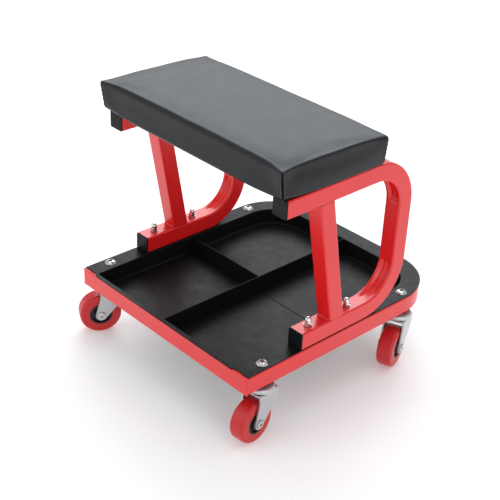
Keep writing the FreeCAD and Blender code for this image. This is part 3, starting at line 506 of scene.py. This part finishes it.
def build_welds(side):
    """Fillet beads across the strut's front and rear faces, and flush beads along its sides."""
    low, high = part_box(f"{side}_strut")
    centre_x = (low.x + high.x) / 2
    half = (high.x - low.x) / 2
    joints = {
        "foot": (low.z, high.y - STRUT_RUN, high.y, 1),
        "head": (high.z, low.y, low.y + STRUT_RUN, -1),
    }
    for joint, (z, front, rear, up) in joints.items():
        for face, y, out in (("front", front, -1), ("rear", rear, 1)):
            centre = Vector((centre_x, y + out * FILLET_REACH, z + up * FILLET_REACH))
            span = Vector((half - TUBE_CORNER, 0, 0))
            mesh = bead_mesh("weld", centre - span, centre + span, FILLET_RADIUS, len(joint) + out)
            new_piece(f"{side}_weld_{joint}_{face}", mesh, FINISHES["red_paint"])
        for face, out in (("left", -1), ("right", 1)):
            x = centre_x + out * (half - FLUSH_RADIUS + 0.05 * MM)
            level = z - up * FLUSH_RADIUS * 0.45
            start = Vector((x, front + TUBE_CORNER * 1.3, level))
            end = Vector((x, rear - TUBE_CORNER * 1.3, level))
            mesh = bead_mesh("weld", start, end, FLUSH_RADIUS, len(joint) + 3 * out)
            new_piece(f"{side}_weld_{joint}_{face}", mesh, FINISHES["red_paint"])


# ---------------------------------------------------------------- seat cushion

# COVER_LOW and COVER_HIGH move the two corners of the pad's CAD box to those of the fitted cover. Each roll
# is how far an edge is rounded. Towards the corners the top droops and the hem lifts, and a small ear
# stands out at the top of each. The cover is a little askew, its front edge pulled to the left.
FRONT_CORNER_ROLL = 3 * MM
REAR_CORNER_ROLL = 5.5 * MM
SIDE_ROLL = 7 * MM
END_ROLL = 3 * MM
LOW_ROLL = 3.2 * MM
CORNER_REACH = 40 * MM
COVER_LOW = Vector((-3.5, 1.5, 0)) * MM
COVER_HIGH = Vector((0.5, 2.5, 2.9)) * MM
SWELL_SHARE = 0.28
SIDE_LEAN = 0.5 * MM
CORNER_LEAN = 1 * MM
CORNER_DROP = 4 * MM
LEFT_FRONT_DROP_SHARE = 0.6
FRONT_HEM_LIFT = 4.5 * MM
REAR_HEM_LIFT = 0.4 * MM
DROOP_REACH = 38 * MM
EAR_PUSH = 1 * MM
EAR_LENGTH = 13 * MM
COVER_SKEW = 3.4 * MM
BOARD_RIM = 7.2 * MM
BOARD_CLEAR = 10.4 * MM
SEAM_GRID = [0, 0.45, 0.9, 1.4, 2.0, 2.7, 3.5, 4.4, 5.4, 6.4, 7.2, 7.7, 9.2, 11, 13.5, 17]
FACE_STEP = 4.5 * MM
HEIGHT_STEPS = 30
PUCKER_PITCH = 7.5 * MM
PUCKER_DEPTH = 0.22 * MM
VOXEL = 6 * MM
SWELL_FRAMES = 20
SWELL_CAP = 6 * MM


def seat_spacing(half):
    """Grid lines from -half to half, close together beside the corner seams."""
    near = [offset * MM for offset in SEAM_GRID]
    middle = half - near[-1]
    steps = round(2 * middle / FACE_STEP)
    inner = [-middle + 2 * middle * n / steps for n in range(steps + 1)]
    left = [-half + offset for offset in near[:-1]]
    return left + inner + [-x for x in reversed(left)]


def box_surface(xs, ys, zs):
    """A closed box whose grid lines run through the given coordinates."""
    grid = (xs, ys, zs)
    last = [len(line) - 1 for line in grid]
    number = {}
    points = []
    for key in product(*(range(len(line)) for line in grid)):
        if any(key[axis] in (0, last[axis]) for axis in range(3)):
            number[key] = len(points)
            points.append(Vector(line[n] for line, n in zip(grid, key)))
    faces = []
    for axis in range(3):
        one, two = (axis + 1) % 3, (axis + 2) % 3
        for end, a, b in product((0, last[axis]), range(last[one]), range(last[two])):
            corners = []
            for step_one, step_two in ((0, 0), (1, 0), (1, 1), (0, 1)):
                key = [0, 0, 0]
                key[axis], key[one], key[two] = end, a + step_one, b + step_two
                corners.append(number[tuple(key)])
            faces.append(tuple(corners))
    return points, faces


def soften(point, half, low, high):
    """Move a point of the plain box onto the box with rolled edges, which are sharper at the corners."""
    to_end, to_side = half.x - abs(point.x), half.y - abs(point.y)
    plain_roll = END_ROLL + (SIDE_ROLL - END_ROLL) * to_end / max(to_end + to_side, 1e-9)
    corner_roll = FRONT_CORNER_ROLL if point.y < 0 else REAR_CORNER_ROLL
    roll = corner_roll + (plain_roll - corner_roll) * smoothstep(4 * MM, CORNER_REACH, max(to_end, to_side))
    size = Vector((roll, roll, roll if point.z > (low + high) / 2 else LOW_ROLL))
    inner = Vector(
        (
            min(max(point.x, roll - half.x), half.x - roll),
            min(max(point.y, roll - half.y), half.y - roll),
            min(max(point.z, low + LOW_ROLL), high - roll),
        )
    )
    out = Vector((point[n] - inner[n]) / size[n] for n in range(3))
    if out.length < 1e-9:
        return point.copy()
    out.normalize()
    return inner + Vector(out[n] * size[n] for n in range(3))


def swell(points, faces, floor_z):
    """Inflate the cover over its foam as cloth; returns a function giving the shift near a point."""
    mesh = bpy.data.meshes.new("cover")
    mesh.from_pydata([tuple(p) for p in points], [], faces)
    cover = bpy.data.objects.new("cover", mesh)
    bpy.context.scene.collection.objects.link(cover)
    remesh = cover.modifiers.new("remesh", "REMESH")
    remesh.mode = "VOXEL"
    remesh.voxel_size = VOXEL
    graph = bpy.context.evaluated_depsgraph_get()
    remeshed = bpy.data.meshes.new_from_object(cover.evaluated_get(graph))
    cover.modifiers.clear()
    cover.data = remeshed
    start = [v.co.copy() for v in remeshed.vertices]
    held = cover.vertex_groups.new(name="held")
    held.add([n for n, p in enumerate(start) if p.z < floor_z + VOXEL / 2], 1.0, "REPLACE")
    cloth = cover.modifiers.new("swell", "CLOTH")
    cloth.settings.vertex_group_mass = "held"
    cloth.settings.use_pressure = True
    cloth.settings.uniform_pressure_force = 4
    cloth.settings.tension_stiffness = 18
    cloth.settings.compression_stiffness = 12
    cloth.settings.bending_stiffness = 0.4
    cloth.settings.shrink_min = -0.006
    cloth.settings.effector_weights.gravity = 0
    for step in range(1, SWELL_FRAMES + 1):
        bpy.context.scene.frame_set(step)
    graph = bpy.context.evaluated_depsgraph_get()
    final = [v.co.copy() for v in cover.evaluated_get(graph).data.vertices]
    bpy.context.scene.frame_set(1)
    bpy.data.objects.remove(cover)
    tree = kdtree.KDTree(len(start))
    shifts = []
    for n, (before, after) in enumerate(zip(start, final)):
        shift = after - before
        shifts.append(shift * min(1, SWELL_CAP / max(shift.length, 1e-9)))
        tree.insert(before, n)
    tree.balance()

    def shift_at(point):
        total, weights = Vector(), 0
        for _, n, distance in tree.find_n(point, 12):
            weight = 1 / (distance * distance + (3 * MM) ** 2)
            total += shifts[n] * weight
            weights += weight
        return total / weights

    return shift_at


def seam_profile(offset):
    """Height of the corner seam over the cover: a stitched groove between two rolled lips."""
    groove, lip, lip_at = 1.8 * MM, 1.0 * MM, 2.6 * MM
    return lip * hump(offset - lip_at, 1.1 * MM) - groove * hump(offset, 0.8 * MM)


def build_cushion():
    """Foam cushion in a fitted vinyl cover: crowned, with a vertical seam at each corner."""
    low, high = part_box("seat_pad")
    low, high = low + COVER_LOW, high + COVER_HIGH
    middle, half = (low + high) / 2, (high - low) / 2
    floor_z, top_z = low.z, high.z
    zs = [floor_z + (top_z - floor_z) * n / HEIGHT_STEPS for n in range(HEIGHT_STEPS + 1)]
    flat, faces = box_surface(seat_spacing(half.x), seat_spacing(half.y), zs)
    rest = [soften(p, half, floor_z, top_z) + Vector((middle.x, middle.y, 0)) for p in flat]
    shift_at = swell(rest, faces, floor_z)
    points = []
    for box_point, point in zip(flat, rest):
        rise = min((point.z - floor_z) / (top_z - floor_z), 1)
        below = box_point.z <= floor_z
        inset_x, inset_y = half.x - abs(box_point.x), half.y - abs(box_point.y)
        from_middle = Vector((point.x - middle.x, point.y - middle.y, 0))
        corner = Vector((math.copysign(1, from_middle.x), math.copysign(1, from_middle.y), 0))
        near_corner = hump(inset_x, EAR_LENGTH) * hump(inset_y, EAR_LENGTH)
        droop = hump(inset_x, DROOP_REACH) * hump(inset_y, DROOP_REACH)
        moved = point + shift_at(point) * smoothstep(0, 0.25, rise) * SWELL_SHARE * (1 - near_corner)
        forward = (middle.y - point.y) / half.y
        moved += corner * near_corner * rise**2 * EAR_PUSH * (0.7 + 0.5 * forward)
        to_right_rear = smoothstep(-1, 1, (point.x - middle.x) / half.x - forward)
        drop_share = LEFT_FRONT_DROP_SHARE + (1 - LEFT_FRONT_DROP_SHARE) * to_right_rear
        moved.z -= droop * smoothstep(0.4, 1, rise) * CORNER_DROP * drop_share
        moved.x -= COVER_SKEW * (0.5 + forward) * smoothstep(-0.5, 1, rise)
        rim = min(half.x - abs(from_middle.x), half.y - abs(from_middle.y))
        hem = smoothstep(BOARD_RIM, 0, rim) if below else 1
        out = Vector((from_middle.x / half.x, from_middle.y / half.y, 0)).normalized()
        moved -= out * (SIDE_LEAN + CORNER_LEAN * near_corner) * (1 - rise) ** 1.5 * hem
        hem_lift = REAR_HEM_LIFT + (FRONT_HEM_LIFT - REAR_HEM_LIFT) * smoothstep(-1, 1, forward)
        lift = hem_lift * droop * (1 - rise) ** 2 * hem
        moved.z += lift
        on_side = smoothstep(1.0, 0.90, rise) * smoothstep(0.0, 0.04, rise)
        if min(inset_x, inset_y) < 1e-6:
            offset = max(inset_x, inset_y)
            moved += corner.normalized() * seam_profile(offset) * on_side
            pucker = math.sin(point.z / PUCKER_PITCH * 2 * math.pi + 2 * noise.noise(point * 60))
            depth = pucker * PUCKER_DEPTH * hump(offset - 4 * MM, 5 * MM)
            moved += corner.normalized() * depth * on_side
        uneven = noise.noise(point * 15) * 0.45 + noise.noise(point * 45) * 0.1
        moved.z += uneven * MM * smoothstep(0.85, 1, rise)
        moved -= out * uneven * MM * 0.8 * on_side
        if below:
            under_board = smoothstep(BOARD_RIM - 0.2 * MM, BOARD_RIM + 0.6 * MM, rim)
            moved.z = floor_z + lift + BOARD_CLEAR * under_board
        points.append(moved)
    mesh = mesh_from("seat_cushion", points, faces)
    cushion = new_piece("seat_cushion", mesh, FINISHES["seat_vinyl"])
    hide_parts("seat_pad")
    return cushion


# ---------------------------------------------------------------- studio

CAMERA_AT = Vector((1.0286, -1.0303, 0.9925))
CAMERA_TURN = math.radians(45.842)
CAMERA_TILT = math.radians(29.975)
CAMERA_ROLL = math.radians(2.893)
CAMERA_LENS = 81.67
LIGHT_AIM = Vector((0, 0, 0.2))


def build_camera():
    camera = bpy.data.objects.new("camera", bpy.data.cameras.new("camera"))
    bpy.context.scene.collection.objects.link(camera)
    flat = math.cos(CAMERA_TILT)
    back = Vector(
        (math.sin(CAMERA_TURN) * flat, -math.cos(CAMERA_TURN) * flat, math.sin(CAMERA_TILT))
    )
    level = Vector((math.cos(CAMERA_TURN), math.sin(CAMERA_TURN), 0))
    upright = back.cross(level)
    right = level * math.cos(CAMERA_ROLL) + upright * math.sin(CAMERA_ROLL)
    up = upright * math.cos(CAMERA_ROLL) - level * math.sin(CAMERA_ROLL)
    camera.matrix_world = Matrix.Translation(CAMERA_AT) @ Matrix((right, up, back)).transposed().to_4x4()
    camera.data.lens = CAMERA_LENS
    bpy.context.scene.camera = camera


def softbox(name, place, width, height, power):
    """A rectangular area light, hidden from the camera, aimed at the object. Returns its data."""
    data = bpy.data.lights.new(name, "AREA")
    data.shape = "RECTANGLE"
    data.size, data.size_y, data.energy = width, height, power
    data.color = (0.93, 0.965, 1.0)
    light = bpy.data.objects.new(name, data)
    bpy.context.scene.collection.objects.link(light)
    light.location = place
    light.rotation_euler = (LIGHT_AIM - light.location).to_track_quat("-Z", "Y").to_euler()
    light.visible_camera = False
    return data


def build_studio():
    """Pale floor under a white surround, lit by four large softboxes.

    The low one at the right has a narrower spread, so that its back edge draws no line on the floor.
    """
    world = bpy.data.worlds.new("surround")
    bpy.context.scene.world = world
    world.use_nodes = True
    surround = world.node_tree.nodes["Background"]
    surround.inputs["Color"].default_value = (1, 1, 1, 1)
    surround.inputs["Strength"].default_value = 0.6
    softbox("overhead", Vector((-0.2, 0.3, 2.3)), 2.2, 2.2, 16)
    softbox("behind", Vector((-1.75, 1.7, 1.9)), 2.6, 1.7, 47)
    softbox("front_left", Vector((-1.0, -2.3, 1.4)), 1.6, 1.6, 10)
    low_box = softbox("front_right", Vector((2.5, -1.1, 0.85)), 1.6, 1.3, 5.6)
    low_box.spread = math.radians(110)
    size = 30
    corners = [(-size, -size, 0), (size, -size, 0), (size, size, 0), (-size, size, 0)]
    mesh = bpy.data.meshes.new("studio_floor")
    mesh.from_pydata(corners, [], [(0, 1, 2, 3)])
    mesh.materials.append(studio_floor())
    floor = bpy.data.objects.new("studio_floor", mesh)
    bpy.context.scene.collection.objects.link(floor)
    bpy.context.scene.view_settings.view_transform = "Standard"


paint_cad_nodes()
for side_name in SIDES:
    build_leg(side_name)
    build_welds(side_name)
build_cushion()
build_camera()
build_studio()
